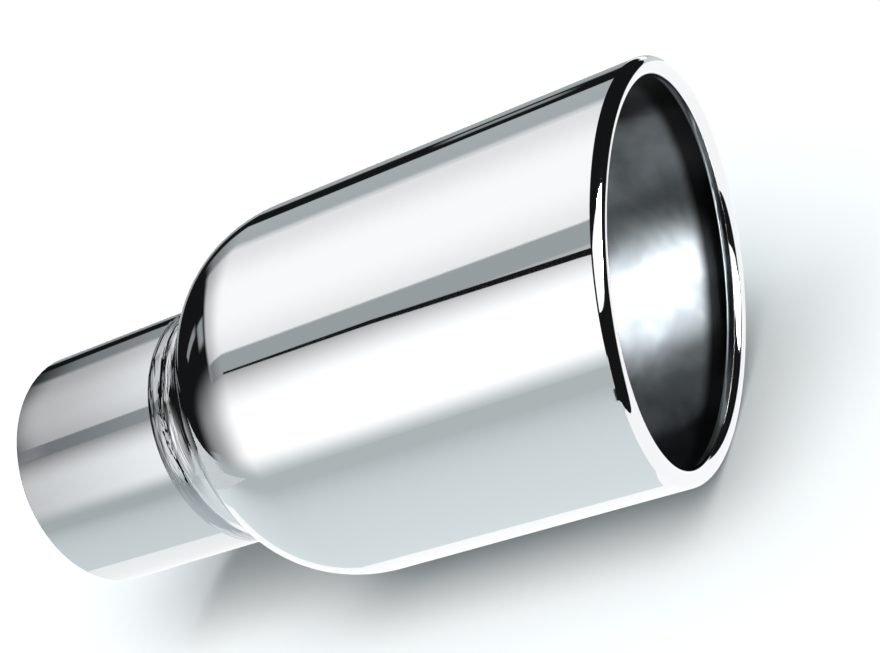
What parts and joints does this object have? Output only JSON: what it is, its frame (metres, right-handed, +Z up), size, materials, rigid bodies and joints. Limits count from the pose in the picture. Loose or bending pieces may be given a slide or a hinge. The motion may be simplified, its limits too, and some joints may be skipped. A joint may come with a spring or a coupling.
{
  "type": "exhaust tip",
  "caption": "Polished round exhaust tip with a rolled, slanted mouth, a domed shoulder and a narrower inlet collar that slips over a tailpipe.",
  "frame": {"origin": "centre of the inlet collar's rear edge, on the centre line", "axes": "+X along the centre line from the inlet to the mouth, +Z up, where the slanted mouth reaches furthest forward, as the tip is carried on a level tailpipe"},
  "size_m": [0.2088, 0.1016, 0.1016],
  "materials": {
    "polished_body": "mirror-polished stainless steel",
    "polished_collar": "polished stainless steel",
    "polished_weld": "polished weld metal"
  },
  "bodies": {
    "root": {"tip_body": "polished_body", "inlet_collar": "polished_collar", "neck_weld": "polished_weld"}
  },
  "joints": []
}
